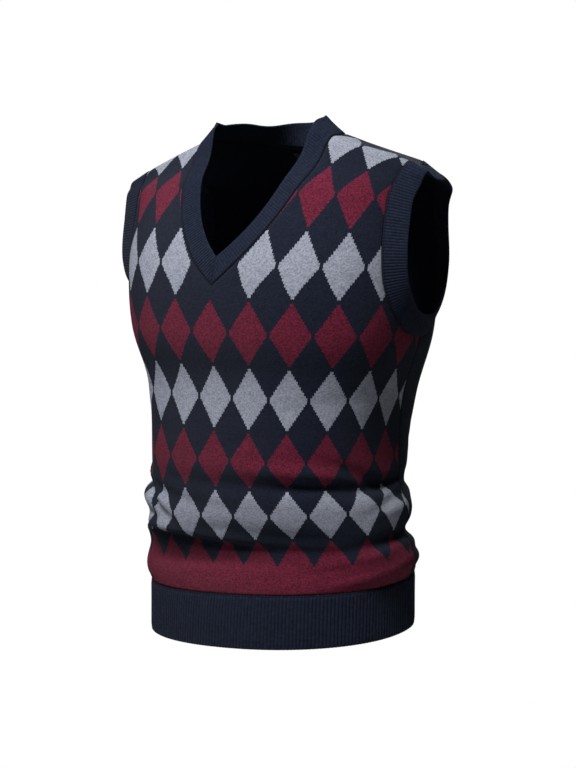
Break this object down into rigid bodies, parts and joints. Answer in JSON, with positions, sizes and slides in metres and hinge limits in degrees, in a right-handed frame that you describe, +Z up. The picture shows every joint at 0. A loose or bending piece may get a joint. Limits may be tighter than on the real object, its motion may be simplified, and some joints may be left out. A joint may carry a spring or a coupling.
{
  "type": "knitted sweater vest",
  "caption": "Sleeveless V-neck pullover in fine knit with ribbed hem, neckband and armhole bands, hollow as worn.",
  "frame": {"origin": "midpoint between the wearer's shoulders at shoulder height, where the wearer holds the vest up", "axes": "+Z up along the wearer's back, -Y out of the chest, +X towards the wearer's left arm"},
  "size_m": [0.4275, 0.324, 0.6307],
  "materials": {
    "argyle_knit": "fine stocking stitch in navy, burgundy and grey melange",
    "navy_knit": "fine plain stocking stitch in navy",
    "navy_rib": "one by one rib in navy",
    "label_weave": "plain woven satin tape"
  },
  "bodies": {
    "root": {"front_panel": "argyle_knit", "back_panel": "navy_knit", "hem_rib_front": "navy_rib", "hem_rib_back": "navy_rib", "neckband": "navy_rib", "armhole_band_left": "navy_rib", "armhole_band_right": "navy_rib", "neck_label": "label_weave"}
  },
  "joints": []
}
